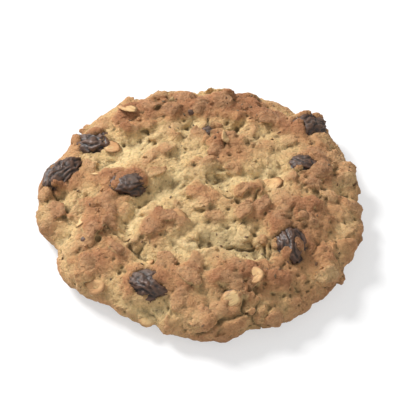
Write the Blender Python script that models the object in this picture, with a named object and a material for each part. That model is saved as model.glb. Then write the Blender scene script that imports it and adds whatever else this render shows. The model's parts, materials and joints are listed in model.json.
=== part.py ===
"""Oatmeal raisin cookie: one drop of dough baked into a thick, uneven round, with raisins sunk in its top.

The dough is a turned profile that an even mesh is wrapped on, pushed out into clumps of oats. Each raisin is a
wrinkled solid of its own, and it sits in a pocket of the dough with a hair's gap all round.
Units are metres. +Z is up, and the origin is under the middle of the cookie, on the surface it lies on.
"""

import bisect
import math

import bmesh
import bpy
from mathutils import Euler, Matrix, Vector, noise

# Driving dimensions
DIAMETER = 0.083
CENTRE_HEIGHT = 0.0126
EDGE_HEIGHT = 0.0098
WAIST_HEIGHT = 0.0042
BASE_SHARE = 0.80
POCKET_GAP = 0.0003

# The dough's relief: how far it stands out, how wide one clump is, and how far one clump stands above the next
CLUMP_RELIEF = 0.0032
CLUMP_WIDTH = 0.0110
CLUMP_STEP = 0.0012
SWELL_RELIEF = 0.0014
SWELL_WIDTH = 0.024
EDGE_WANDER = 0.050
NOISE_PLACE = Vector((3.7, 11.2, 5.4))

# Ridges and furrows across the top: (x, y) from the middle as shares of the radius, (length, width),
# turn from +X in degrees, and height. A furrow's height is below nought.
RIDGES = (
    ((0.18, 0.76), (0.028, 0.011), -4, 0.0018),
    ((0.28, 0.30), (0.023, 0.010), 12, 0.0019),
    ((0.38, -0.15), (0.032, 0.010), -8, 0.0020),
    ((-0.54, 0.02), (0.019, 0.014), 20, 0.0013),
    ((-0.19, -0.30), (0.016, 0.010), 60, 0.0018),
    ((-0.62, -0.44), (0.015, 0.011), 130, 0.0013),
    ((-0.30, 0.60), (0.019, 0.012), 30, 0.0013),
    ((0.20, -0.68), (0.026, 0.011), 14, 0.0016),
    ((0.10, 0.53), (0.030, 0.0046), -5, -0.0022),
    ((0.27, 0.08), (0.026, 0.0046), 8, -0.0019),
    ((-0.38, -0.20), (0.024, 0.0042), 58, -0.0020),
    ((0.12, -0.43), (0.030, 0.0046), -12, -0.0018),
    ((-0.62, 0.25), (0.016, 0.0040), -35, -0.0014),
)

DOUGH_SUBDIVISIONS = 5
RAISIN_SUBDIVISIONS = 3
PROFILE_STEPS = 400

# Raisins: distance from the middle as a share of the radius, bearing in degrees from +X towards +Y,
# (length, width, thickness), turn about the upright axis in degrees, and the share of the thickness that is sunk
RAISINS = (
    (0.81, 148, (0.0116, 0.0092, 0.0078), 25, 0.60),
    (0.89, 170, (0.0122, 0.0070, 0.0066), 71, 0.60),
    (0.46, 180, (0.0090, 0.0068, 0.0060), 30, 0.76),
    (0.50, 84, (0.0082, 0.0058, 0.0052), 170, 0.78),
    (0.87, 40, (0.0108, 0.0080, 0.0068), 100, 0.68),
    (0.69, 320, (0.0112, 0.0070, 0.0062), 8, 0.82),
    (0.66, 17, (0.0080, 0.0060, 0.0054), 120, 0.80),
    (0.78, 246, (0.0102, 0.0074, 0.0064), 140, 0.78),
)


def clear_scene():
    for obj in list(bpy.data.objects):
        bpy.data.objects.remove(obj)


def new_collection(name):
    collection = bpy.data.collections.new(name)
    bpy.context.scene.collection.children.link(collection)
    return collection


def new_material(name, colour, roughness):
    material = bpy.data.materials.new(name)
    material.use_nodes = True
    surface = material.node_tree.nodes["Principled BSDF"]
    surface.inputs["Base Color"].default_value = (*colour, 1.0)
    surface.inputs["Roughness"].default_value = roughness
    surface.inputs["Metallic"].default_value = 0.0
    material.diffuse_color = (*colour, 1.0)
    return material


def top_of_dome(share):
    """The top's height at a share of the radius, before the edge is rounded."""
    return CENTRE_HEIGHT + (EDGE_HEIGHT - CENTRE_HEIGHT) * share**2.4


def upper(share):
    """The upper surface, from the middle (0) to the widest place (1)."""
    rounding = math.sqrt(max(0.0, 1 - share**9))
    return WAIST_HEIGHT + (top_of_dome(share) - WAIST_HEIGHT) * rounding


def lower(share):
    """The underside: flat out to BASE_SHARE, then curving up to the widest place."""
    out = max(0.0, share - BASE_SHARE) / (1 - BASE_SHARE)
    return WAIST_HEIGHT * (1 - math.sqrt(max(0.0, 1 - out**2.6)))


def turned_profile():
    """(radius, height) from the top's middle round the edge to the underside's middle."""
    shares = [math.sin(math.pi / 2 * i / PROFILE_STEPS) for i in range(PROFILE_STEPS + 1)]
    over = [(share * DIAMETER / 2, upper(share)) for share in shares]
    under = [(share * DIAMETER / 2, lower(share)) for share in reversed(shares)]
    return over + under[1:]


def area_reached(profile):
    """The share of the turned surface's area that lies before each point of the profile."""
    reached = [0.0]
    for (r0, z0), (r1, z1) in zip(profile, profile[1:]):
        reached.append(reached[-1] + (r0 + r1) * math.hypot(r1 - r0, z1 - z0))
    return [area / reached[-1] for area in reached]


def edge_share(bearing):
    """How far the outline stands out at a bearing, as a share of the radius."""
    slow = 0.014 * math.cos(2 * bearing + 0.6) + 0.011 * math.cos(3 * bearing + 2.1)
    around = Vector((math.cos(bearing), math.sin(bearing), 0.0))
    return 1 + slow + EDGE_WANDER * noise.noise(around * 2.6 + NOISE_PLACE)


def ridge_height(place):
    """What the ridges and furrows add at a place."""
    total = 0.0
    for middle, size, turn, height in RIDGES:
        away = place.xy - Vector(middle) * DIAMETER / 2
        away.rotate(Matrix.Rotation(math.radians(-turn), 2))
        total += height * math.exp(-((2 * away.x / size[0]) ** 2) - (2 * away.y / size[1]) ** 2)
    return total


def relief(place):
    """How far the dough stands out at a place: clumps of oats on a slow swell, and the ridges."""
    distances, middles = noise.voronoi(place / CLUMP_WIDTH + NOISE_PLACE)
    clump = 0.25 - distances[0] ** 2
    step = noise.noise(middles[0] * 5.1)
    swell = noise.noise(place / SWELL_WIDTH + NOISE_PLACE)
    return CLUMP_RELIEF * clump + CLUMP_STEP * step + SWELL_RELIEF * swell + ridge_height(place)


def relief_weight(share_down, height):
    """All the relief on the top and the edge, fading out before the flat underside."""
    if share_down < 0.5:
        return 1.0
    return min(1.0, max(0.0, height / WAIST_HEIGHT)) ** 0.7


def wrapped_point(direction, profile, reached):
    """Where a point of the unit sphere lies on the cookie. Equal areas of the sphere take equal areas of dough."""
    share_down = (1 - max(-1.0, min(1.0, direction.z))) / 2
    i = min(max(1, bisect.bisect_left(reached, share_down)), len(profile) - 1)
    t = (share_down - reached[i - 1]) / (reached[i] - reached[i - 1])
    (r0, z0), (r1, z1) = profile[i - 1], profile[i]
    radius, height = r0 + (r1 - r0) * t, z0 + (z1 - z0) * t
    bearing = math.atan2(direction.y, direction.x)
    outwards = Vector((math.cos(bearing), math.sin(bearing), 0.0))
    normal = (outwards * (z0 - z1) + Vector((0, 0, 1)) * (r1 - r0)).normalized()
    place = outwards * radius * edge_share(bearing) + Vector((0, 0, height))
    place += normal * relief(place) * relief_weight(share_down, height)
    place.z = max(0.0, place.z)
    return place


def build_dough(collection, material):
    bm = bmesh.new()
    bmesh.ops.create_icosphere(bm, subdivisions=DOUGH_SUBDIVISIONS, radius=1.0)
    profile = turned_profile()
    reached = area_reached(profile)
    for vertex in bm.verts:
        vertex.co = wrapped_point(vertex.co.normalized(), profile, reached)
    return finish_piece("dough", bm, collection, material)


def finish_piece(name, bm, collection, material):
    bmesh.ops.recalc_face_normals(bm, faces=bm.faces)
    mesh = bpy.data.meshes.new(name)
    bm.to_mesh(mesh)
    bm.free()
    mesh.shade_smooth()
    mesh.materials.append(material)
    obj = bpy.data.objects.new(name, mesh)
    collection.objects.link(obj)
    return obj


def wrinkle(direction, number):
    """Folds that run along a raisin, as a share of its size."""
    around = math.atan2(direction.z, direction.y)
    fold = math.cos(7 * around + 2.2 * math.sin(3.1 * direction.x + number))
    return 1 + 0.055 * fold * (1 - direction.x**2) + 0.09 * noise.noise(direction * 1.7 + NOISE_PLACE * number)


def raisin_mesh(size, number, grown_by):
    """A raisin about its own middle, lying along X. The pocket's cutter is the same raisin, grown by the gap."""
    bm = bmesh.new()
    bmesh.ops.create_icosphere(bm, subdivisions=RAISIN_SUBDIVISIONS, radius=1.0)
    for vertex in bm.verts:
        direction = vertex.co.normalized()
        half = Vector(size) * 0.5 * wrinkle(direction, number)
        vertex.co = Vector(a * b for a, b in zip(direction, half))
    bm.normal_update()
    for vertex, normal in [(v, v.normal.copy()) for v in bm.verts]:
        vertex.co += normal * grown_by
    return bm


def surface_under(dough, x, y):
    """The dough's top surface at (x, y), and its normal there."""
    hit, place, normal, _ = dough.ray_cast(Vector((x, y, 0.1)), Vector((0, 0, -1)))
    if not hit:
        raise ValueError("a raisin lies outside the dough")
    return place, normal


def raisin_pose(dough, share, bearing, size, turn, sunk):
    """The matrix that lays a raisin on the dough and sinks it along the surface's own slope."""
    bearing = math.radians(bearing)
    radius = share * DIAMETER / 2
    place, normal = surface_under(dough, radius * math.cos(bearing), radius * math.sin(bearing))
    upright = (normal + Vector((0, 0, 1.5))).normalized()
    tilt = upright.to_track_quat("Z", "X").to_matrix().to_4x4()
    spin = Euler((0, 0, math.radians(turn))).to_matrix().to_4x4()
    middle = place + upright * size[2] * (0.5 - sunk)
    return Matrix.Translation(middle) @ tilt @ spin


def build_raisins(dough, collection, cutters, material):
    bpy.context.view_layer.update()
    raisins = []
    for number, (share, bearing, size, turn, sunk) in enumerate(RAISINS, start=1):
        pose = raisin_pose(dough, share, bearing, size, turn, sunk)
        raisin = finish_piece(f"raisin_{number}", raisin_mesh(size, number, 0.0), collection, material)
        cutter = finish_piece(f"pocket_{number}", raisin_mesh(size, number, POCKET_GAP), cutters, material)
        cutter.hide_render = True
        cutter.display_type = "WIRE"
        raisin.matrix_world = pose
        cutter.matrix_world = pose
        raisins.append(raisin)
    return raisins


def cut_pockets(dough, cutters):
    for cutter in cutters.objects:
        cut = dough.modifiers.new(cutter.name, "BOOLEAN")
        cut.operation = "DIFFERENCE"
        cut.solver = "EXACT"
        cut.object = cutter


def stand_on_origin(pieces, cutters):
    """Moves everything so that the origin is under the middle of the cookie's box."""
    bpy.context.view_layer.update()
    corners = [piece.matrix_world @ vertex.co for piece in pieces for vertex in piece.data.vertices]
    low = Vector(min(corner[i] for corner in corners) for i in range(3))
    high = Vector(max(corner[i] for corner in corners) for i in range(3))
    shift = Vector((-(low.x + high.x) / 2, -(low.y + high.y) / 2, -low.z))
    for obj in [*pieces, *cutters.objects]:
        obj.matrix_world = Matrix.Translation(shift) @ obj.matrix_world


def main():
    clear_scene()
    cookie = new_collection("oatmeal_raisin_cookie")
    cutters = new_collection("pocket_cutters")
    baked = new_material("baked_oat_dough", (0.60, 0.40, 0.19), 0.85)
    dried = new_material("raisin_skin", (0.030, 0.017, 0.014), 0.45)
    dough = build_dough(cookie, baked)
    raisins = build_raisins(dough, cookie, cutters, dried)
    stand_on_origin([dough, *raisins], cutters)
    cut_pockets(dough, cutters)


main()
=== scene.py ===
import json
import math
import random

import bmesh
import bpy
import numpy as np
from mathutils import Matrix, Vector, noise
from mathutils.bvhtree import BVHTree

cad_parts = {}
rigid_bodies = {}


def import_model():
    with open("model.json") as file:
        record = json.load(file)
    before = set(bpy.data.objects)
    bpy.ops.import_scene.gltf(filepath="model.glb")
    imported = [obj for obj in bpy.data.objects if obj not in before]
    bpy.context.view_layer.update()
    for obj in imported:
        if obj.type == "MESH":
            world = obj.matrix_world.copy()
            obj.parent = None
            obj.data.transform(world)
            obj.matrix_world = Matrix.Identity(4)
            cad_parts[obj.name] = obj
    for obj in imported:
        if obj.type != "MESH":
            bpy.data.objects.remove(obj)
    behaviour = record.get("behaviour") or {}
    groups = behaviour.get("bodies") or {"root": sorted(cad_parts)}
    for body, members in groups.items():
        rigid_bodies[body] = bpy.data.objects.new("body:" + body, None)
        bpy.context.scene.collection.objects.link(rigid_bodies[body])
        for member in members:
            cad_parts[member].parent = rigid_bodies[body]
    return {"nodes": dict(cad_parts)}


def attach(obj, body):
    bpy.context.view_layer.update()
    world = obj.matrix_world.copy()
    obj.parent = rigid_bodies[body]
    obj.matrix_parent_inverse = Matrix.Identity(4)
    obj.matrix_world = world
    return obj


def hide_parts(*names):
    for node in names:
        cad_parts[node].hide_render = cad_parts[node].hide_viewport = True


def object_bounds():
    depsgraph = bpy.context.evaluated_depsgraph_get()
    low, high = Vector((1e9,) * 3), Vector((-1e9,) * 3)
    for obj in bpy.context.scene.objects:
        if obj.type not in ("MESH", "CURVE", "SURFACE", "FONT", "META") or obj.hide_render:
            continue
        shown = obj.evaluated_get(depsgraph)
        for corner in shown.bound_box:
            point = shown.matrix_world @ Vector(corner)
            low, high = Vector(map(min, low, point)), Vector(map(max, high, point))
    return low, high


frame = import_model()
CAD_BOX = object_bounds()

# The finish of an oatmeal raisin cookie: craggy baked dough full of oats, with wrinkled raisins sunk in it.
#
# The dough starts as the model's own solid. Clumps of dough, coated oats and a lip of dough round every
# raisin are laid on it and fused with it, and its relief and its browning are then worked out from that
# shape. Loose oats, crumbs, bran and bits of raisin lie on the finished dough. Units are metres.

LOW, HIGH = CAD_BOX
CENTRE = (LOW + HIGH) / 2
RADIUS = (HIGH.x - LOW.x + HIGH.y - LOW.y) / 4
HEIGHT = HIGH.z - LOW.z
MM = 0.001


def mm(*lengths):
    return tuple(length * MM for length in lengths)


# What is kept inside the cookie's box is eased back over a band at the box's edge
DOUGH_BAND, RAISIN_BAND, TOPPING_BAND = mm(1.2, 0.6, 0.5)

# The dough's core is pared down, except near a raisin and across its flat base
CORE_PARED = 0.55 * MM
PARED_FROM, PARED_OVER = mm(0.6, 2.5)
BASE_BAND = 0.4 * MM

# What is laid on the core and fused with it, each kind with its size and its gap
CLUMP_SIZE, CLUMP_GAP = mm(6.4, 5.2, 3.6), 5.4 * MM
LIP_SIZE, LIP_GAP = mm(4.4, 3.4, 1.5), 1.9 * MM
COATED_OAT_SIZE, COATED_OAT_GAP = mm(6.8, 4.8, 1.0), 4.3 * MM
FUSED_GRAIN = 0.455 * MM

# The relief of the fused dough: widths, then depths
CREASE_WIDTH, FOLD_WIDTH, CRACK_SPACING, CRUMB_WIDTH = mm(6.0, 2.3, 15, 1.0)
PIT_WIDTH, SMALL_PIT_WIDTH = mm(3.4, 1.9)
CREASE_DEPTH, CRACK_DEPTH, PIT_DEPTH, CRUMB_DEPTH = mm(1.5, 1.1, 0.8, 1.0)
FOLD_SHARE = 0.38
SMALL_PIT_SHARE = 0.75
OAT_SMOOTHS = 0.55
RAISIN_HUG = 0.75 * MM

# The even dome that ridges and furrows are judged against: its height in the middle and at the edge, and how
# late it falls
DOME_MIDDLE = 0.80 * HEIGHT
DOME_EDGE = 0.42 * HEIGHT
DOME_FALL = 3.0

# Over how many steps of the grain, and how far, a point of the dough counts as standing out
STANDING_SMALL = (6, 0.35 * MM)
STANDING_LARGE = (60, 1.1 * MM)
RIDGE_STEPS, RIDGE_FULL = 40, 1.6 * MM

# Colours, linear
PALE_DOUGH = (0.760, 0.560, 0.282)
TAN_DOUGH = (0.635, 0.428, 0.200)
TOASTED_DOUGH = (0.500, 0.262, 0.118)
SCORCHED_DOUGH = (0.340, 0.146, 0.066)
RIM_DOUGH = (0.310, 0.150, 0.068)
# Painted shade for creases, cracks, pits, furrows and round each raisin; also the bran flecks' second tone
CREVICE_SHADE_AND_BRAN = (0.130, 0.084, 0.036)
OAT = (0.600, 0.430, 0.235)
BRAN = (0.150, 0.072, 0.030)
# Painted shade in a raisin's folds
RAISIN_FOLD_SHADE = (0.014, 0.008, 0.006)
RAISIN_RIDGE = (0.105, 0.050, 0.028)
RAISIN_BLOOM = (0.165, 0.132, 0.102)
TABLE = (0.90, 0.90, 0.90)
WHITE = (1.0, 1.0, 1.0, 1.0)

# How much each thing adds to the dough's browning
PATCHES_HEAT, LARGE_HEAT, RIDGE_HEAT, SMALL_HEAT, MOTTLE_HEAT, OAT_HEAT = 1.4, 0.30, 1.00, 0.10, 0.8, 0.75

# Subsurface light: its weight, its reach in red, green and blue, and its scale
DOUGH_GLOW = (0.10, (1.0, 0.55, 0.28), 1.6 * MM)
OAT_GLOW = (0.10, (1.0, 0.6, 0.3), 1.2 * MM)

# What lies loose on the dough. Scale is from least to most along each axis, and sink is along the shape's
# own up
LOOSE_OATS = {"seed": 61, "gap": 7.0 * MM, "share": 0.34, "tilt": 0.20, "sink": mm(-0.30, -0.02),
              "scale": ((0.65, 0.65, 0.9), (1.05, 1.05, 1.2))}
DOUGH_CRUMBS = {"seed": 73, "gap": 4.4 * MM, "share": 0.5, "tilt": 1.0, "sink": mm(-0.15, 0.15),
                "scale": ((0.4, 0.4, 0.4), (1.0, 1.0, 1.0))}
BRAN_FLECKS = {"seed": 89, "gap": 1.9 * MM, "share": 0.45, "tilt": 0.7, "sink": mm(-0.12, 0.02),
               "scale": ((0.35, 0.45, 0.5), (1.1, 0.9, 1.1)), "patchy": True}
RAISIN_BITS = {"seed": 97, "gap": 7.0 * MM, "share": 0.5, "tilt": 0.5, "sink": mm(-0.2, 0.1),
               "scale": ((0.5, 0.5, 0.6), (1.1, 1.0, 1.0)), "in_hollows": True}
LOOSE_OAT_SIZE = mm(7.0, 4.9, 0.50)
CRUMB_SIZE = mm(1.7, 1.4, 1.1)
FLECK_SIZE = mm(1.5, 1.0, 0.40)
BIT_SIZE = mm(2.8, 2.0, 1.3)

# A raisin's skin: the wander of its outline, then each size of fold with its frequency
RAISIN_PLUMP, RAISIN_WANDER = 1.03, 0.17
RAISIN_FOLDS = ((0.085, 0.95, 1), (0.048, 2.1, -1), (0.020, 4.6, 1))


# ---- node trees, one node at a time ----

def socket_named(sockets, key):
    """The live socket of that name. Some nodes keep one of the same name for every kind of value."""
    return next(s for s in sockets if s.name == key and s.enabled)


def add_node(tree, kind, sockets=None, **settings):
    made = tree.nodes.new(kind)
    for name, value in settings.items():
        setattr(made, name, value)
    for key, value in (sockets or {}).items():
        feed(tree, socket_named(made.inputs, key), value)
    return made


def feed(tree, socket, value):
    if isinstance(value, bpy.types.NodeSocket):
        tree.links.new(value, socket)
    else:
        socket.default_value = value


def out(node, key=None):
    return socket_named(node.outputs, key) if key else next(s for s in node.outputs if s.enabled)


def maths(tree, operation, *values, clamp=False):
    made = add_node(tree, "ShaderNodeMath", operation=operation, use_clamp=clamp)
    for socket, value in zip(made.inputs, values):
        feed(tree, socket, value)
    return made.outputs[0]


def product(tree, first, *others):
    for other in others:
        first = maths(tree, "MULTIPLY", first, other)
    return first


def vectors(tree, operation, first, second=None, scale=None):
    made = add_node(tree, "ShaderNodeVectorMath", operation=operation)
    feed(tree, made.inputs[0], first)
    if second is not None:
        feed(tree, made.inputs[1], second)
    if scale is not None:
        feed(tree, socket_named(made.inputs, "Scale"), scale)
    return next(s for s in made.outputs if s.enabled)


def eased(tree, value, low, high, to_low=0.0, to_high=1.0):
    """value, taken smoothly from the range low..high to to_low..to_high."""
    made = add_node(tree, "ShaderNodeMapRange", interpolation_type="SMOOTHSTEP")
    for socket, given in zip(made.inputs, (value, low, high, to_low, to_high)):
        feed(tree, socket, given)
    return made.outputs["Result"]


def cloud(tree, place, width, detail=2.0, rough=0.5, warp=0.0):
    """Noise about nought, from -0.5 to 0.5, whose blobs are about this wide."""
    made = add_node(tree, "ShaderNodeTexNoise", {
        "Vector": place, "Scale": 0.5 / width, "Detail": detail, "Roughness": rough, "Distortion": warp})
    return maths(tree, "SUBTRACT", made.outputs[0], 0.5)


def cells(tree, place, width, feature="F1"):
    return add_node(tree, "ShaderNodeTexVoronoi", {"Vector": place, "Scale": 1 / width}, feature=feature)


def to_cell_edge(tree, place, width):
    return cells(tree, place, width, "DISTANCE_TO_EDGE").outputs["Distance"]


def strayed(tree, place, width, by):
    """A place moved about by a slow cloud, so that cells read there lose their straight edges."""
    cloudy = add_node(tree, "ShaderNodeTexNoise", {"Vector": place, "Scale": 0.5 / width, "Detail": 1.0})
    about = vectors(tree, "SUBTRACT", socket_named(cloudy.outputs, "Color"), (0.5, 0.5, 0.5))
    return vectors(tree, "ADD", place, vectors(tree, "SCALE", about, scale=2 * by))


def along(tree, axis, vector):
    return add_node(tree, "ShaderNodeSeparateXYZ", {"Vector": vector}).outputs[axis]


def from_middle(tree, place):
    """How far out a place is, from 0 in the middle to 1 at the rim."""
    apart = vectors(tree, "SUBTRACT", place, tuple(CENTRE))
    squares = [maths(tree, "POWER", along(tree, axis, apart), 2.0) for axis in "XY"]
    return maths(tree, "DIVIDE", maths(tree, "SQRT", maths(tree, "ADD", *squares)), RADIUS)


def over_dome(tree, place):
    """How far a place on the top stands over the even dome."""
    fall = product(tree, maths(tree, "POWER", from_middle(tree, place), DOME_FALL), DOME_MIDDLE - DOME_EDGE)
    return maths(tree, "SUBTRACT", maths(tree, "ADD", along(tree, "Z", place), fall), DOME_MIDDLE)


# ---- geometry trees, and what they make ----

def geometry_tree(name, sizes=(), objects=(), collections=()):
    """A geometry tree with named inputs. Returns it with its input and output nodes."""
    tree = bpy.data.node_groups.new(name, "GeometryNodeTree")
    tree.interface.new_socket("Geometry", in_out="INPUT", socket_type="NodeSocketGeometry")
    for kind, names in (("Float", sizes), ("Object", objects), ("Collection", collections)):
        for each in names:
            tree.interface.new_socket(each, in_out="INPUT", socket_type="NodeSocket" + kind)
    tree.interface.new_socket("Geometry", in_out="OUTPUT", socket_type="NodeSocketGeometry")
    return tree, tree.nodes.new("NodeGroupInput").outputs, tree.nodes.new("NodeGroupOutput").inputs[0]


def use_tree(obj, tree, values):
    """Puts a tree on an object, each named input set by its socket's identifier."""
    modifier = obj.modifiers.new(tree.name, "NODES")
    modifier.node_group = tree
    for item in tree.interface.items_tree:
        if item.in_out == "INPUT" and item.name in values:
            modifier[item.identifier] = values[item.name]


def as_mesh(obj, name):
    """A plain mesh object of what obj's modifiers make."""
    graph = bpy.context.evaluated_depsgraph_get()
    mesh = bpy.data.meshes.new_from_object(obj.evaluated_get(graph), depsgraph=graph)
    mesh.name = name
    return put_in_scene(name, mesh)


def put_in_scene(name, mesh, collection=None):
    obj = bpy.data.objects.new(name, mesh)
    (collection or bpy.context.scene.collection).objects.link(obj)
    return obj


def discard(*objects):
    for obj in objects:
        bpy.data.objects.remove(obj)


def finished_mesh(bm, name):
    mesh = bpy.data.meshes.new(name)
    bm.to_mesh(mesh)
    bm.free()
    return mesh


def merged_copy(node, name):
    """A CAD node's mesh as a new object, with its loose triangles sewn together."""
    bm = bmesh.new()
    bm.from_mesh(node.data)
    bm.transform(node.matrix_world)
    bmesh.ops.remove_doubles(bm, verts=bm.verts, dist=1e-6)
    bm.normal_update()
    return put_in_scene(name, finished_mesh(bm, name))


def vertex_places(mesh):
    places = np.empty(len(mesh.vertices) * 3)
    mesh.vertices.foreach_get("co", places)
    return places.reshape(-1, 3)


def held_in_box(mesh, band):
    """Eases whatever comes near the sides or the top of the cookie's box back inside it."""
    places = vertex_places(mesh)
    for axis, facing in ((0, 1), (1, 1), (2, 1), (0, -1), (1, -1)):
        limit = (HIGH[axis] if facing > 0 else LOW[axis]) - facing * band
        past = facing * (places[:, axis] - limit)
        eased_in = limit + facing * band * (1 - np.exp(-np.maximum(past, 0) / band))
        places[:, axis] = np.where(past > 0, eased_in, places[:, axis])
    places[:, 2] = np.maximum(places[:, 2], LOW.z)
    mesh.vertices.foreach_set("co", np.ascontiguousarray(places).ravel())
    mesh.update()


def drop_specks(mesh):
    """Leaves only the largest of a mesh's separate shells."""
    bm = bmesh.new()
    bm.from_mesh(mesh)
    shells, seen = [], set()
    for first in bm.verts:
        if first in seen:
            continue
        shell, front = {first}, [first]
        while front:
            for edge in front.pop().link_edges:
                for vertex in edge.verts:
                    if vertex not in shell:
                        shell.add(vertex)
                        front.append(vertex)
        shells.append(shell)
        seen |= shell
    largest = max(shells, key=len)
    bmesh.ops.delete(bm, geom=[vertex for vertex in bm.verts if vertex not in largest], context="VERTS")
    bm.to_mesh(mesh)
    bm.free()


# ---- small shapes that are scattered ----

def shape_collection(name, meshes):
    """The shapes that one scatter picks from, out of sight."""
    collection = bpy.data.collections.new(name)
    bpy.context.scene.collection.children.link(collection)
    for mesh in meshes:
        put_in_scene(mesh.name, mesh, collection).hide_render = True
    return collection


def discard_collection(collection):
    discard(*collection.objects)
    bpy.data.collections.remove(collection)


def lump_meshes(name, count, first_seed, size, detail):
    return [lump_mesh(f"{name}_{i}", first_seed + i, size, detail) for i in range(1, count + 1)]


def oat_meshes(name, count, first_seed, size):
    return [oat_mesh(f"{name}_{i}", first_seed + i, size) for i in range(1, count + 1)]


def lump_mesh(name, seed, size, detail):
    """An uneven blob about its own middle, size across."""
    bm = bmesh.new()
    bmesh.ops.create_icosphere(bm, subdivisions=detail, radius=0.5)
    for vertex in bm.verts:
        away = vertex.co.normalized()
        push = noise.noise(away * 1.3 + Vector((seed * 7.1, 0, 0))) * 0.45
        push += noise.noise(away * 2.9 + Vector((0, seed * 5.3, 0))) * 0.22
        vertex.co *= (1 + push)
        vertex.co = Vector(a * b for a, b in zip(vertex.co, size))
    mesh = finished_mesh(bm, name)
    mesh.shade_smooth()
    return mesh


def oat_mesh(name, seed, size, around=14, rings=3):
    """A rolled oat: a flat oval with a groove along it, an uneven rim and a slight curl.

    Its own flat place is kept as the attribute oat_place, so that husk lines can run along it.
    """
    draw = random.Random(seed)
    length, width, thickness = size
    curl, twist, slant = draw.uniform(-0.5, 0.9), draw.uniform(-0.35, 0.35), draw.uniform(-0.2, 0.2)
    rim = [1 + 0.09 * math.sin(2 * a + seed) + draw.uniform(-0.07, 0.07)
           for a in (math.tau * i / around for i in range(around))]
    bm = bmesh.new()

    def point(ring, step, side):
        share = ring / rings
        bearing = math.tau * step / around
        x = share * rim[step % around] * math.cos(bearing)
        y = share * rim[step % around] * math.sin(bearing) + slant * share * math.cos(bearing) * 0.3
        groove = -0.26 * thickness * math.exp(-(y / 0.13) ** 2) * (1 - share**4)
        bend = curl * thickness * (y * y) + twist * thickness * x * y * 2
        half = thickness / 2 * math.sqrt(max(0.0, 1 - share**4)) * side
        ripple = 0.12 * thickness * noise.noise(Vector((x * 3.1, y * 3.1, seed)))
        z = half + bend + (groove if side > 0 else 0) + ripple
        return bm.verts.new((x * length / 2, y * width / 2, z))

    own_place = bm.verts.layers.float_vector.new("oat_place")
    edge = [point(rings, step, 0) for step in range(around)]
    for side in (1, -1):
        previous = edge
        for ring in range(rings - 1, 0, -1):
            inner = [point(ring, step, side) for step in range(around)]
            for step in range(around):
                after = (step + 1) % around
                corners = [previous[step], previous[after], inner[after], inner[step]]
                bm.faces.new(corners if side > 0 else corners[::-1])
            previous = inner
        tip = point(0, 0, side)
        for step in range(around):
            corners = [previous[step], previous[(step + 1) % around], tip]
            bm.faces.new(corners if side > 0 else corners[::-1])
    for vertex in bm.verts:
        vertex[own_place] = vertex.co
    bmesh.ops.recalc_face_normals(bm, faces=bm.faces)
    mesh = finished_mesh(bm, name)
    mesh.shade_smooth()
    return mesh


def drawn(tree, least, most, seed, kind="FLOAT_VECTOR"):
    return out(add_node(tree, "FunctionNodeRandomValue", {
        "Min": least, "Max": most, "Seed": seed}, data_type=kind))


def scatter(tree, surface, shapes, gap, share, where, seed, tilt, scale, sink):
    """Shapes set on a surface no closer than gap: each turned, tilted and scaled at random, and sunk."""
    points = add_node(tree, "GeometryNodeDistributePointsOnFaces", {}, distribute_method="POISSON")
    for key, value in (("Mesh", surface), ("Distance Min", gap), ("Seed", seed),
                       ("Density Max", maths(tree, "DIVIDE", 1.0, product(tree, gap, gap))),
                       ("Density Factor", product(tree, where, share))):
        feed(tree, socket_named(points.inputs, key), value)
    turn = drawn(tree, (-tilt, -tilt, 0.0), (tilt, tilt, math.tau), seed + 1)
    rotation = add_node(tree, "FunctionNodeRotateRotation", {
        "Rotation": out(points, "Rotation"), "Rotate By": turn}, rotation_space="LOCAL")
    laid = add_node(tree, "GeometryNodeInstanceOnPoints", {
        "Points": out(points, "Points"), "Instance": shapes, "Pick Instance": True,
        "Rotation": out(rotation), "Scale": drawn(tree, *scale, seed + 2)})
    sunk = add_node(tree, "GeometryNodeTranslateInstances", {
        "Instances": out(laid), "Local Space": True,
        "Translation": drawn(tree, (0, 0, sink[0]), (0, 0, sink[1]), seed + 3)})
    return stored(tree, out(sunk), "own_shade", drawn(tree, -0.5, 0.5, seed + 4, "FLOAT"), "INSTANCE")


def stored(tree, geometry, name, value, domain="POINT"):
    return out(add_node(tree, "GeometryNodeStoreNamedAttribute", {
        "Geometry": geometry, "Name": name, "Value": value}, data_type="FLOAT", domain=domain))


def named(tree, name):
    attribute = add_node(tree, "GeometryNodeInputNamedAttribute", {"Name": name}, data_type="FLOAT")
    return out(attribute, "Attribute")


def position(tree):
    return out(add_node(tree, "GeometryNodeInputPosition"))


def facing(tree):
    return out(add_node(tree, "GeometryNodeInputNormal"))


def upward(tree):
    """1 where the surface faces up, 0 at an upright wall."""
    return along(tree, "Z", facing(tree))


def shapes_in(tree, collection):
    return out(add_node(tree, "GeometryNodeCollectionInfo", {
        "Collection": collection, "Separate Children": True, "Reset Children": True}))


def geometry_of(tree, obj):
    return out(add_node(tree, "GeometryNodeObjectInfo", {"Object": obj}), "Geometry")


def nearness(tree, obj):
    """How far each point is from an object's surface."""
    near = add_node(tree, "GeometryNodeProximity", {
        "Geometry": geometry_of(tree, obj)}, target_element="FACES")
    return out(near, "Distance")


def realized(tree, geometry):
    return out(add_node(tree, "GeometryNodeRealizeInstances", {"Geometry": geometry}))


def joined(tree, *parts):
    join = add_node(tree, "GeometryNodeJoinGeometry")
    for part in parts:
        tree.links.new(part, join.inputs[0])
    return out(join)


# ---- dough ----

def pared_core(dough, raisins):
    """The dough's solid, pared down so that what is laid on it comes back out to its size."""
    core = merged_copy(dough, "dough_core")
    near = BVHTree.FromObject(raisins, bpy.context.evaluated_depsgraph_get())
    for vertex in core.data.vertices:
        apart = near.find_nearest(vertex.co)[3]
        share = min(1.0, max(0.0, (apart - PARED_FROM) / PARED_OVER))
        inwards = -vertex.normal.copy()
        if vertex.co.z < LOW.z + BASE_BAND:
            inwards.z = 0
        vertex.co += inwards * CORE_PARED * share
    core.data.update()
    return core


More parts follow.
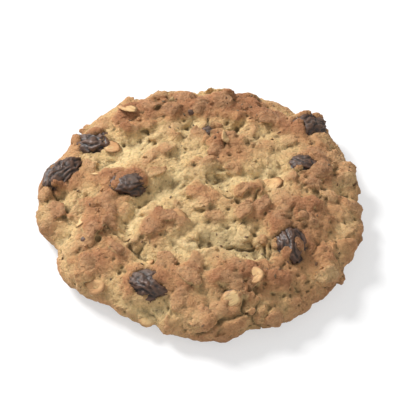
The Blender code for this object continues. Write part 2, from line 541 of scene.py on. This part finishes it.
def joined_raisins(raisins):
    """All the raisins in one object, out of sight, for measuring distances from."""
    bm = bmesh.new()
    for raisin in raisins:
        bm.from_mesh(raisin.data)
    bmesh.ops.remove_doubles(bm, verts=bm.verts, dist=1e-6)
    obj = put_in_scene("raisin_places", finished_mesh(bm, "raisin_places"))
    obj.hide_render = True
    return obj


def open_dough(tree, raisins):
    """1 on the dough that is clear of the raisins, off the table and not in a furrow."""
    clear = product(tree, maths(tree, "GREATER_THAN", nearness(tree, raisins), 1.5 * MM),
                    maths(tree, "GREATER_THAN", along(tree, "Z", position(tree)), 2.2 * MM))
    in_furrow = product(tree, eased(tree, over_dome(tree, position(tree)), -1.7 * MM, -0.9 * MM, 1.0, 0.0),
                        eased(tree, upward(tree), 0.5, 0.8))
    return product(tree, clear, maths(tree, "SUBTRACT", 1.0, in_furrow))


def coated_oat_tree():
    """Oats that the dough coats, lying on the top of the core."""
    tree, given, result = geometry_tree(
        "lay_coated_oats", sizes=("Oat gap",), objects=("Raisins",), collections=("Oat shapes",))
    on_top = product(tree, open_dough(tree, given["Raisins"]), eased(tree, upward(tree), 0.30, 0.75))
    oats = scatter(tree, given["Geometry"], shapes_in(tree, given["Oat shapes"]), given["Oat gap"],
                   share=0.95, where=on_top, seed=29, tilt=0.30,
                   scale=((0.70, 0.70, 1.0), (1.15, 1.1, 1.4)), sink=mm(0.30, 0.65))
    tree.links.new(realized(tree, oats), result)
    return tree


def clump_tree():
    """Clumps, the coated oats and the lips of dough round the raisins, laid on the core."""
    tree, given, result = geometry_tree(
        "lay_clumps", sizes=("Clump gap", "Lip gap"), objects=("Raisins", "Dough", "Coated oats"),
        collections=("Clump shapes", "Lip shapes"))
    core = given["Geometry"]
    clumps = scatter(tree, core, shapes_in(tree, given["Clump shapes"]), given["Clump gap"],
                     share=0.85, where=open_dough(tree, given["Raisins"]), seed=11, tilt=0.35,
                     scale=((0.6, 0.6, 0.55), (1.35, 1.35, 1.0)), sink=mm(-1.1, 0.15))
    from_dough = nearness(tree, given["Dough"])
    at_brim = product(tree, maths(tree, "GREATER_THAN", from_dough, 0.45 * MM),
                      maths(tree, "LESS_THAN", from_dough, 1.7 * MM))
    lips = scatter(tree, geometry_of(tree, given["Raisins"]), shapes_in(tree, given["Lip shapes"]),
                   given["Lip gap"], share=0.85, where=at_brim, seed=47, tilt=0.45,
                   scale=((0.55, 0.55, 0.5), (1.15, 1.15, 1.0)), sink=mm(-0.35, 0.15))
    everything = joined(tree, core, clumps, geometry_of(tree, given["Coated oats"]), lips)
    tree.links.new(realized(tree, everything), result)
    return tree


def cushions(tree, place, width):
    """Rounded swellings, one to a cell, with a crease between neighbours."""
    from_peak = cells(tree, place, width).outputs["Distance"]
    return maths(tree, "SUBTRACT", 0.30, maths(tree, "POWER", from_peak, 2.0))


def cracks(tree, place):
    """Jagged cracks of uneven width that come and go."""
    jagged = strayed(tree, strayed(tree, place, 5 * MM, 2.4 * MM), 1.6 * MM, 0.8 * MM)
    wide = maths(tree, "MULTIPLY_ADD", cloud(tree, place, 2.5 * MM), 0.06, 0.045)
    here = eased(tree, cloud(tree, place, 7 * MM), -0.02, 0.14)
    return product(tree, eased(tree, to_cell_edge(tree, jagged, CRACK_SPACING), 0.0, wide, 1.0, 0.0), here)


def pits(tree, place, width, reach, share):
    """Holes in this share of the cells of this width."""
    spots = cells(tree, place, width)
    lot = maths(tree, "FRACT", product(tree, vectors(tree, "LENGTH", spots.outputs["Position"]), 7919.0))
    hole = eased(tree, spots.outputs["Distance"], reach * 0.25, reach, 1.0, 0.0)
    return product(tree, hole, maths(tree, "LESS_THAN", lot, share))


def relief_tree():
    """The fused dough's creases, cracks, pits and grain, and the shape facts for its browning and painted
    shade.
    """
    tree, given, result = geometry_tree(
        "bake_relief", sizes=("Crease depth", "Crack depth", "Pit depth", "Crumb depth"),
        objects=("Raisins", "Coated oats"))

    def softened(steps):
        return out(add_node(tree, "GeometryNodeBlurAttribute", {
            "Value": position(tree), "Iterations": steps}, data_type="FLOAT_VECTOR"))

    def standing(steps, full):
        """How far a point stands out of the dough round it, from -1 to 1."""
        apart = vectors(tree, "SUBTRACT", position(tree), softened(steps))
        return maths(tree, "DIVIDE", vectors(tree, "DOT_PRODUCT", apart, facing(tree)), full)

    smooth = out(add_node(tree, "GeometryNodeSetPosition", {
        "Geometry": given["Geometry"], "Position": softened(3)}))
    oat_here = eased(tree, nearness(tree, given["Coated oats"]), 0.12 * MM, 0.42 * MM, 1.0, 0.0)
    smooth = stored(tree, smooth, "oat", oat_here)
    nearest_oat = add_node(tree, "GeometryNodeSampleNearestSurface", {
        "Mesh": geometry_of(tree, given["Coated oats"]),
        "Value": named(tree, "own_shade")}, data_type="FLOAT")
    smooth = stored(tree, smooth, "oat_shade", out(nearest_oat, "Value"))

    place = position(tree)
    wandering = strayed(tree, place, 3 * MM, 1.1 * MM)
    crack = cracks(tree, place)
    open_crumb = eased(tree, cloud(tree, place, 8 * MM), -0.08, 0.12, 0.10, 0.42)
    pit = maths(tree, "MAXIMUM", pits(tree, wandering, PIT_WIDTH, 0.32, open_crumb), product(
        tree, pits(tree, wandering, SMALL_PIT_WIDTH, 0.42, open_crumb), SMALL_PIT_SHARE))
    lift = product(tree, cushions(tree, wandering, CREASE_WIDTH), given["Crease depth"])
    lift = maths(tree, "MULTIPLY_ADD", cushions(tree, wandering, FOLD_WIDTH),
                 product(tree, given["Crease depth"], FOLD_SHARE), lift)
    lift = maths(tree, "SUBTRACT", lift, product(tree, crack, given["Crack depth"]))
    lift = maths(tree, "SUBTRACT", lift, product(tree, pit, given["Pit depth"]))
    lift = product(tree, lift, maths(tree, "MULTIPLY_ADD", named(tree, "oat"), -OAT_SMOOTHS, 1.0))
    crumb = cloud(tree, place, CRUMB_WIDTH, rough=0.65)
    lift = maths(tree, "MULTIPLY_ADD", crumb, given["Crumb depth"], lift)
    hug = eased(tree, nearness(tree, given["Raisins"]), 0.3 * MM, 3.5 * MM, RAISIN_HUG, 0.0)
    off_table = eased(tree, along(tree, "Z", place), 0.3 * MM, 1.8 * MM, 0.20, 1.0)
    lift = product(tree, maths(tree, "ADD", lift, hug), off_table)
    shaped = out(add_node(tree, "GeometryNodeSetPosition", {
        "Geometry": smooth, "Offset": vectors(tree, "SCALE", facing(tree), scale=lift)}))

    on_top = product(tree, eased(tree, upward(tree), 0.2, 0.7),
                     eased(tree, from_middle(tree, position(tree)), 0.80, 0.95, 1.0, 0.0))
    ridge = product(tree, on_top, maths(tree, "DIVIDE", over_dome(tree, softened(RIDGE_STEPS)), RIDGE_FULL))
    by_raisin = eased(tree, nearness(tree, given["Raisins"]), 0.2 * MM, 1.4 * MM, 1.0, 0.0)
    for name, value in (("standing_small", standing(*STANDING_SMALL)),
                        ("standing_large", standing(*STANDING_LARGE)),
                        ("ridge", ridge), ("by_raisin", by_raisin),
                        ("crack", maths(tree, "MAXIMUM", crack, product(tree, pit, 0.7)))):
        shaped = stored(tree, shaped, name, value)
    tree.links.new(shaped, result)
    return tree


def build_dough(node, raisins, material):
    uncut = merged_copy(node, "dough_place")
    places = joined_raisins(raisins)
    core = pared_core(node, places)
    shapes = {
        "Clump shapes": shape_collection("clump_shapes", lump_meshes("clump", 4, 0, CLUMP_SIZE, 3)),
        "Lip shapes": shape_collection("lip_shapes", lump_meshes("lip", 3, 10, LIP_SIZE, 3)),
        "Oat shapes": shape_collection("coated_oat_shapes", oat_meshes("coated_oat", 5, 0, COATED_OAT_SIZE)),
    }
    carrier = put_in_scene("oat_carrier", core.data)
    use_tree(carrier, coated_oat_tree(), {"Oat gap": COATED_OAT_GAP, "Raisins": places, **shapes})
    oats = as_mesh(carrier, "coated_oats")
    oats.hide_render = True
    use_tree(core, clump_tree(), {
        "Clump gap": CLUMP_GAP, "Lip gap": LIP_GAP, "Raisins": places, "Dough": uncut,
        "Coated oats": oats, **shapes})
    fuse = core.modifiers.new("fuse", "REMESH")
    fuse.mode = "VOXEL"
    fuse.voxel_size = FUSED_GRAIN
    use_tree(core, relief_tree(), {
        "Crease depth": CREASE_DEPTH, "Crack depth": CRACK_DEPTH, "Pit depth": PIT_DEPTH,
        "Crumb depth": CRUMB_DEPTH, "Raisins": places, "Coated oats": oats})
    dough = as_mesh(core, "baked_dough")
    discard(core, uncut, places, carrier, oats)
    for collection in shapes.values():
        discard_collection(collection)
    drop_specks(dough.data)
    held_in_box(dough.data, DOUGH_BAND)
    dough.data.shade_smooth()
    dough.data.materials.clear()
    dough.data.materials.append(material)
    return dough


# ---- raisins ----

def raisin_frame(node):
    """The middle, the three axes (long, wide, thick) and the half sizes of a raisin's solid."""
    places = np.unique(vertex_places(node.data).round(7), axis=0)
    middle = (places.max(axis=0) + places.min(axis=0)) / 2
    _, _, axes = np.linalg.svd(places - middle, full_matrices=False)
    for axis in axes[:2]:
        axis *= np.sign(axis[np.argmax(np.abs(axis))])
    axes[2] = np.cross(axes[0], axes[1])
    half = np.abs((places - middle) @ axes.T).max(axis=0)
    return middle, axes, half


def dried_fold(place):
    """A crease that closes sharply at its foot: from -1 there to about 1 on the ridges beside it."""
    return min(1.0, abs(noise.noise(place)) * 3.2) * 2 - 1


def build_raisin(node, number, material):
    """A raisin's dried skin, to the size and turn of its solid, its folds running along it."""
    middle, axes, half = raisin_frame(node)
    bm = bmesh.new()
    bmesh.ops.create_icosphere(bm, subdivisions=5, radius=1.0)
    start = Vector((number * 3.7, number * 1.9, number * 5.1))
    for vertex in bm.verts:
        away = vertex.co.normalized()
        warp = Vector((0, noise.noise(away * 1.6 + start), noise.noise(away * 1.6 - start))) * 0.9
        run = Vector((away.x, away.y * 2.1, away.z * 2.1)) + warp
        reach = RAISIN_PLUMP + RAISIN_WANDER * noise.noise(away * 1.2 + start)
        for depth, frequency, side in RAISIN_FOLDS:
            reach += depth * dried_fold(run * frequency + start * side)
        own = Vector(a * b for a, b in zip(away, half)) * reach
        vertex.co = Vector(middle) + Vector(sum(own[i] * axes[i][k] for i in range(3)) for k in range(3))
    mesh = finished_mesh(bm, f"dried_raisin_{number}")
    held_in_box(mesh, RAISIN_BAND)
    mesh.shade_smooth()
    mesh.materials.append(material)
    return put_in_scene(mesh.name, mesh)


# ---- what lies on the dough ----

def topping_tree(name, material, seed, tilt, scale, sink, in_hollows, patchy):
    """Loose things laid on the dough where it faces up, clear of the raisins."""
    tree, given, result = geometry_tree(
        name, sizes=("Gap", "Share"), objects=("Raisins",), collections=("Shapes",))
    clear = product(tree, maths(tree, "GREATER_THAN", nearness(tree, given["Raisins"]), 1.0 * MM),
                    eased(tree, upward(tree), 0.45, 0.85))
    if patchy:
        clear = product(tree, clear, eased(tree, cloud(tree, position(tree), 9 * MM), -0.02, 0.12))
    if in_hollows:
        clear = product(tree, clear, maths(tree, "LESS_THAN", named(tree, "standing_small"), -0.15))
    laid = scatter(tree, given["Geometry"], shapes_in(tree, given["Shapes"]), given["Gap"], given["Share"],
                   clear, seed, tilt, scale, sink)
    finished = add_node(tree, "GeometryNodeSetMaterial", {
        "Geometry": realized(tree, laid), "Material": material})
    tree.links.new(out(finished), result)
    return tree


def lay_toppings(name, dough, raisins, shapes, material, seed, gap, share, tilt, scale, sink,
                 in_hollows=False, patchy=False):
    """One piece of loose things laid on the finished dough."""
    tree = topping_tree(name, material, seed, tilt, scale, sink, in_hollows, patchy)
    carrier = put_in_scene(name + "_carrier", dough.data)
    collection = shape_collection(name + "_shapes", shapes)
    use_tree(carrier, tree, {"Gap": gap, "Share": share, "Raisins": raisins, "Shapes": collection})
    piece = as_mesh(carrier, name)
    discard(carrier)
    discard_collection(collection)
    held_in_box(piece.data, TOPPING_BAND)
    piece.data.shade_smooth()
    return piece


# ---- finishes ----

def new_finish(name):
    material = bpy.data.materials.new(name)
    material.use_nodes = True
    tree = material.node_tree
    return material, tree, tree.nodes["Principled BSDF"]


def object_place(tree):
    return add_node(tree, "ShaderNodeTexCoord").outputs["Object"]


def read(tree, name, output="Fac"):
    return add_node(tree, "ShaderNodeAttribute", attribute_name=name).outputs[output]


def blend(tree, share, first, second):
    """One colour over another."""
    mix = add_node(tree, "ShaderNodeMix", data_type="RGBA")
    feed(tree, mix.inputs[0], share)
    feed(tree, socket_named(mix.inputs, "A"), (*first, 1.0) if isinstance(first, tuple) else first)
    feed(tree, socket_named(mix.inputs, "B"), (*second, 1.0) if isinstance(second, tuple) else second)
    return socket_named(mix.outputs, "Result")


def bumped(tree, height, depth, below=None):
    bump = add_node(tree, "ShaderNodeBump", {"Height": height, "Distance": depth, "Strength": 1.0})
    if below is not None:
        feed(tree, bump.inputs["Normal"], below)
    return bump.outputs["Normal"]


def lit_within(surface, glow):
    weight, reach, scale = glow
    surface.inputs["Subsurface Weight"].default_value = weight
    surface.inputs["Subsurface Radius"].default_value = reach
    surface.inputs["Subsurface Scale"].default_value = scale


def browned(tree, place, outward, patches, mottle):
    """The crust's colour: pale where it is sheltered, toasted and then scorched where it stands up."""
    heat = product(tree, patches, PATCHES_HEAT)
    for value, weight in ((read(tree, "standing_large"), LARGE_HEAT), (read(tree, "ridge"), RIDGE_HEAT),
                          (read(tree, "standing_small"), SMALL_HEAT), (mottle, MOTTLE_HEAT)):
        heat = maths(tree, "MULTIPLY_ADD", value, weight, heat)
    heat = maths(tree, "ADD", heat, eased(tree, outward, 0.66, 1.0, 0.10, 0.50))
    oat_tone = product(tree, read(tree, "oat"), read(tree, "oat_shade"))
    heat = maths(tree, "MULTIPLY_ADD", oat_tone, OAT_HEAT, heat)
    colour = blend(tree, eased(tree, heat, -0.60, 0.15), PALE_DOUGH, TAN_DOUGH)
    colour = blend(tree, eased(tree, heat, 0.10, 0.92), colour, TOASTED_DOUGH)
    spots = maths(tree, "MULTIPLY_ADD", cloud(tree, place, 1.5 * MM, detail=3.0, rough=0.65), 2.4, heat)
    return blend(tree, eased(tree, spots, 0.60, 1.85, 0.0, 0.85), colour, SCORCHED_DOUGH)


def with_oats(tree, place, colour):
    """The husk and the dark edge of each oat that the dough coats."""
    oat = read(tree, "oat")
    fibre = cloud(tree, place, 0.7 * MM, detail=3.0, rough=0.7)
    husk = maths(tree, "MULTIPLY_ADD", fibre, 1.2, 0.45, clamp=True)
    colour = blend(tree, product(tree, oat, husk, 0.36), colour, OAT)
    edge = product(tree, oat, maths(tree, "SUBTRACT", 1.0, oat), 4.0)
    return blend(tree, product(tree, edge, 0.22), colour, RIM_DOUGH)


def with_rim_and_base(tree, place, outward, mottle, colour):
    """The brown rim, and the underside that lay on the tray."""
    height = maths(tree, "DIVIDE", along(tree, "Z", place), HEIGHT)
    rim = product(tree, eased(tree, outward, 0.86, 1.02), eased(tree, height, 0.10, 0.55, 1.0, 0.25))
    colour = blend(tree, product(tree, rim, 0.55), colour, RIM_DOUGH)
    base = blend(tree, eased(tree, mottle, -0.2, 0.25), TOASTED_DOUGH, RIM_DOUGH)
    return blend(tree, product(tree, eased(tree, height, 0.03, 0.16, 1.0, 0.0), 0.9), colour, base)


def with_hollow_shade(tree, patches, colour):
    """Painted shade in creases, cracks, pits and furrows, darker the deeper they are."""
    hollow = maths(tree, "MAXIMUM", eased(tree, read(tree, "standing_small"), -0.05, -1.0),
                   product(tree, read(tree, "crack"), 0.75))
    hollow = product(tree, hollow, eased(tree, patches, -0.25, 0.2, 0.75, 0.95), 0.82)
    colour = blend(tree, hollow, colour, CREVICE_SHADE_AND_BRAN)
    # Painted shade in the furrows between the ridges
    return blend(tree, eased(tree, read(tree, "ridge"), -0.35, -1.25, 0.0, 0.42), colour, CREVICE_SHADE_AND_BRAN)


def with_bran_and_raisin_shade(tree, place, colour):
    """Specks of bran in the dough, and painted shade on the dough round each raisin."""
    spots = cells(tree, strayed(tree, place, 0.6 * MM, 0.25 * MM), 1.25 * MM)
    lot = add_node(tree, "ShaderNodeSeparateColor", {"Color": spots.outputs["Color"]}).outputs["Red"]
    flecks = product(tree, eased(tree, spots.outputs["Distance"], 0.12, 0.26, 1.0, 0.0),
                     maths(tree, "GREATER_THAN", lot, 0.80))
    colour = blend(tree, product(tree, flecks, 0.55), colour, BRAN)
    # Painted shade on the dough round each raisin
    return blend(tree, product(tree, read(tree, "by_raisin"), 0.40), colour, CREVICE_SHADE_AND_BRAN)


def crumb_normal(tree, place):
    """Grit, pores and hairline cracks, finer than the mesh carries."""
    pores = cells(tree, strayed(tree, place, 0.8 * MM, 0.4 * MM), 1.3 * MM).outputs["Distance"]
    hairline = to_cell_edge(tree, strayed(tree, place, 1.2 * MM, 0.9 * MM), 2.4 * MM)
    whole = eased(tree, cloud(tree, place, 3 * MM), -0.24, -0.14)
    normal = bumped(tree, cloud(tree, place, 0.40 * MM, detail=4.0, rough=0.70), 1.20 * MM)
    normal = bumped(tree, eased(tree, pores, 0.10, 0.36), 0.16 * MM, normal)
    return bumped(tree, maths(tree, "MAXIMUM", eased(tree, hairline, 0.0, 0.07), whole), 0.14 * MM, normal)


def dough_finish():
    """Baked dough: pale in its folds, toasted where it stands up, brown rim, oats, bran, painted shade in
    hollows.
    """
    material, tree, surface = new_finish("baked oat dough")
    place = object_place(tree)
    outward = from_middle(tree, place)
    patches = cloud(tree, place, 10 * MM, rough=0.55)
    mottle = cloud(tree, place, 2.2 * MM, detail=3.0, rough=0.6)
    fine_mottle = cloud(tree, place, 1.0 * MM, detail=3.0, rough=0.7)
    speckle = cloud(tree, place, 0.36 * MM, rough=0.6)

    colour = browned(tree, place, outward, patches, mottle)
    colour = with_oats(tree, place, colour)
    colour = with_rim_and_base(tree, place, outward, mottle, colour)
    # Painted shade in creases, cracks, pits and furrows
    colour = with_hollow_shade(tree, patches, colour)
    # Bran specks, and painted shade round each raisin
    colour = with_bran_and_raisin_shade(tree, place, colour)
    bright = maths(tree, "MULTIPLY_ADD", fine_mottle, 0.60, 1.05)
    bright = maths(tree, "MULTIPLY_ADD", speckle, 0.60, bright)
    varied = add_node(tree, "ShaderNodeHueSaturation", {"Color": colour, "Value": bright})
    tree.links.new(varied.outputs["Color"], surface.inputs["Base Color"])

    dry = maths(tree, "ADD", speckle, mottle)
    tree.links.new(eased(tree, dry, -0.35, 0.35, 0.92, 0.66), surface.inputs["Roughness"])
    surface.inputs["Specular IOR Level"].default_value = 0.28
    lit_within(surface, DOUGH_GLOW)
    tree.links.new(crumb_normal(tree, place), surface.inputs["Normal"])
    return material


def oat_finish():
    """A baked oat: pale, with darker husk lines along it and a toasted film of dough."""
    material, tree, surface = new_finish("toasted oat")
    place, own_place = object_place(tree), read(tree, "oat_place", "Vector")
    patches = maths(tree, "ADD", cloud(tree, place, 2.5 * MM, detail=3.0, rough=0.6), maths(
        tree, "MULTIPLY_ADD", read(tree, "own_shade"), 0.45, 0.10))
    lengthwise = vectors(tree, "ADD", vectors(tree, "MULTIPLY", own_place, (0.25, 1.0, 1.0)),
                         vectors(tree, "SCALE", place, scale=0.03))
    fibre = cloud(tree, lengthwise, 0.42 * MM, detail=3.0, rough=0.65)
    reach = vectors(tree, "LENGTH", vectors(tree, "MULTIPLY", own_place, (0.70, 1.0, 1.0)))
    colour = blend(tree, eased(tree, patches, -0.35, 0.05), OAT, TAN_DOUGH)
    colour = blend(tree, eased(tree, patches, 0.02, 0.36, 0.0, 0.9), colour, TOASTED_DOUGH)
    colour = blend(tree, eased(tree, fibre, 0.00, 0.22, 0.0, 0.75), colour, RIM_DOUGH)
    colour = blend(tree, eased(tree, reach, 1.5 * MM, 2.4 * MM, 0.0, 0.75), colour, TOASTED_DOUGH)
    tree.links.new(colour, surface.inputs["Base Color"])
    tree.links.new(eased(tree, fibre, -0.3, 0.3, 0.84, 0.62), surface.inputs["Roughness"])
    surface.inputs["Specular IOR Level"].default_value = 0.3
    lit_within(surface, OAT_GLOW)
    tree.links.new(bumped(tree, fibre, 0.40 * MM), surface.inputs["Normal"])
    return material


def bran_finish():
    material, tree, surface = new_finish("dark bran")
    mottle = cloud(tree, object_place(tree), 0.9 * MM, rough=0.6)
    colour = blend(tree, eased(tree, mottle, -0.2, 0.2), BRAN, CREVICE_SHADE_AND_BRAN)
    tree.links.new(colour, surface.inputs["Base Color"])
    tree.links.new(eased(tree, mottle, -0.3, 0.3, 0.75, 0.5), surface.inputs["Roughness"])
    tree.links.new(bumped(tree, mottle, 0.12 * MM), surface.inputs["Normal"])
    return material


def raisin_finish():
    """Raisin skin: nearly black in its folds as painted shade, red-brown on the ridges, with a thin grey
    bloom.
    """
    material, tree, surface = new_finish("raisin skin")
    place = object_place(tree)
    bloom = cloud(tree, place, 2.4 * MM, detail=4.0, rough=0.65)
    grain = cloud(tree, place, 0.6 * MM, detail=3.0, rough=0.6)
    edges = add_node(tree, "ShaderNodeNewGeometry").outputs["Pointiness"]
    # Painted shade: the folds, found by pointiness, are darkened nearly to black
    colour = blend(tree, eased(tree, edges, 0.46, 0.56), RAISIN_FOLD_SHADE, RAISIN_RIDGE)
    colour = blend(tree, eased(tree, bloom, -0.02, 0.25, 0.0, 0.26), colour, RAISIN_BLOOM)
    tree.links.new(colour, surface.inputs["Base Color"])
    dusty = maths(tree, "ADD", bloom, grain)
    tree.links.new(eased(tree, dusty, -0.3, 0.4, 0.42, 0.72), surface.inputs["Roughness"])
    surface.inputs["Specular IOR Level"].default_value = 0.5
    normal = bumped(tree, cloud(tree, place, 0.9 * MM, warp=1.2), 0.35 * MM)
    tree.links.new(bumped(tree, grain, 0.08 * MM, normal), surface.inputs["Normal"])
    return material


# ---- stage, light and camera ----

def any_ray(tree, *kinds):
    """1 for rays of any of these kinds."""
    paths = add_node(tree, "ShaderNodeLightPath").outputs
    found = paths[kinds[0]]
    for kind in kinds[1:]:
        found = maths(tree, "MAXIMUM", found, paths[kind])
    return found


def table_finish():
    """A white table that stays white to the camera and keeps part of the shadow."""
    material, tree, surface = new_finish("white table")
    surface.inputs["Base Color"].default_value = (*TABLE, 1.0)
    surface.inputs["Roughness"].default_value = 0.9
    glow = add_node(tree, "ShaderNodeEmission", {"Color": WHITE, "Strength": 1.0})
    mix = add_node(tree, "ShaderNodeMixShader")
    seen = any_ray(tree, "Is Camera Ray", "Is Glossy Ray", "Is Transmission Ray")
    tree.links.new(product(tree, seen, 0.52), mix.inputs[0])
    tree.links.new(surface.outputs[0], mix.inputs[1])
    tree.links.new(glow.outputs[0], mix.inputs[2])
    tree.links.new(mix.outputs[0], tree.nodes["Material Output"].inputs["Surface"])
    return material


def build_stage():
    bm = bmesh.new()
    bmesh.ops.create_grid(bm, x_segments=1, y_segments=1, size=1.5)
    table_top = put_in_scene("table_top", finished_mesh(bm, "table_top"))
    table_top.data.materials.append(table_finish())
    table_top.location.z = LOW.z - 0.05 * MM

    world = bpy.data.worlds.new("white room")
    bpy.context.scene.world = world
    world.use_nodes = True
    tree = world.node_tree
    tree.nodes.clear()
    room = add_node(tree, "ShaderNodeBackground", {"Color": WHITE, "Strength": 0.46})
    seen = add_node(tree, "ShaderNodeBackground", {"Color": WHITE, "Strength": 1.0})
    mix = add_node(tree, "ShaderNodeMixShader")
    tree.links.new(any_ray(tree, "Is Camera Ray", "Is Transmission Ray"), mix.inputs[0])
    tree.links.new(room.outputs[0], mix.inputs[1])
    tree.links.new(seen.outputs[0], mix.inputs[2])
    output = add_node(tree, "ShaderNodeOutputWorld")
    tree.links.new(mix.outputs[0], output.inputs["Surface"])


def add_lamp(name, place, size, watts):
    lamp = bpy.data.lights.new(name, "AREA")
    lamp.shape = "SQUARE"
    lamp.size = size
    lamp.energy = watts
    obj = bpy.data.objects.new(name, lamp)
    bpy.context.scene.collection.objects.link(obj)
    obj.location = place
    obj.rotation_euler = (CENTRE - Vector(place)).to_track_quat("-Z", "Y").to_euler()


def build_camera(azimuth, elevation, lens, fills):
    """A long lens looking down at the cookie, along +Y at azimuth 0, which fills this share of the width."""
    camera = bpy.data.cameras.new("camera")
    camera.lens = lens
    camera.sensor_width = 36.0
    obj = bpy.data.objects.new("camera", camera)
    bpy.context.scene.collection.objects.link(obj)
    a, e = math.radians(azimuth), math.radians(elevation)
    back = Vector((math.sin(a) * math.cos(e), -math.cos(a) * math.cos(e), math.sin(e)))
    distance = (HIGH.x - LOW.x) / fills * lens / camera.sensor_width
    obj.location = CENTRE + back * distance
    obj.rotation_euler = (-back).to_track_quat("-Z", "Y").to_euler()
    camera.clip_start, camera.clip_end = distance * 0.05, distance * 20
    bpy.context.scene.camera = obj


def main():
    bpy.context.scene.view_settings.view_transform = "Standard"
    nodes = frame["nodes"]
    raisin_names = sorted(name for name in nodes if name.startswith("raisin_"))
    raisin_nodes = [nodes[name] for name in raisin_names]
    dough_material, oat_material = dough_finish(), oat_finish()
    bran_material, raisin_material = bran_finish(), raisin_finish()

    dough = build_dough(nodes["dough"], raisin_nodes, dough_material)
    raisins = [build_raisin(node, i, raisin_material) for i, node in enumerate(raisin_nodes, start=1)]
    places = joined_raisins(raisins)
    oats = lay_toppings(
        "loose_oats", dough, places, oat_meshes("loose_oat", 4, 20, LOOSE_OAT_SIZE),
        oat_material, **LOOSE_OATS)
    crumbs = lay_toppings(
        "dough_crumbs", dough, places, lump_meshes("crumb", 3, 30, CRUMB_SIZE, 2),
        dough_material, **DOUGH_CRUMBS)
    bran = lay_toppings(
        "bran_flecks", dough, places, lump_meshes("fleck", 5, 40, FLECK_SIZE, 1),
        bran_material, **BRAN_FLECKS)
    bits = lay_toppings(
        "raisin_bits", dough, places, lump_meshes("bit", 3, 50, BIT_SIZE, 3),
        raisin_material, **RAISIN_BITS)
    discard(places)

    build_stage()
    add_lamp("window", (-0.55, 0.45, 0.62), size=0.30, watts=13.0)
    add_lamp("fill", (0.6, -0.7, 0.7), size=0.8, watts=3.0)
    build_camera(azimuth=0, elevation=50, lens=150, fills=0.83)

    for piece, slot in ((dough, "baked_oat_dough"), (oats, "baked_oat_dough"), (crumbs, "baked_oat_dough"),
                        (bran, "baked_oat_dough"), (bits, "raisin_skin")):
        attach(piece, "root")
    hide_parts("dough")
    for raisin, name in zip(raisins, raisin_names):
        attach(raisin, "root")
        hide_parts(name)


main()
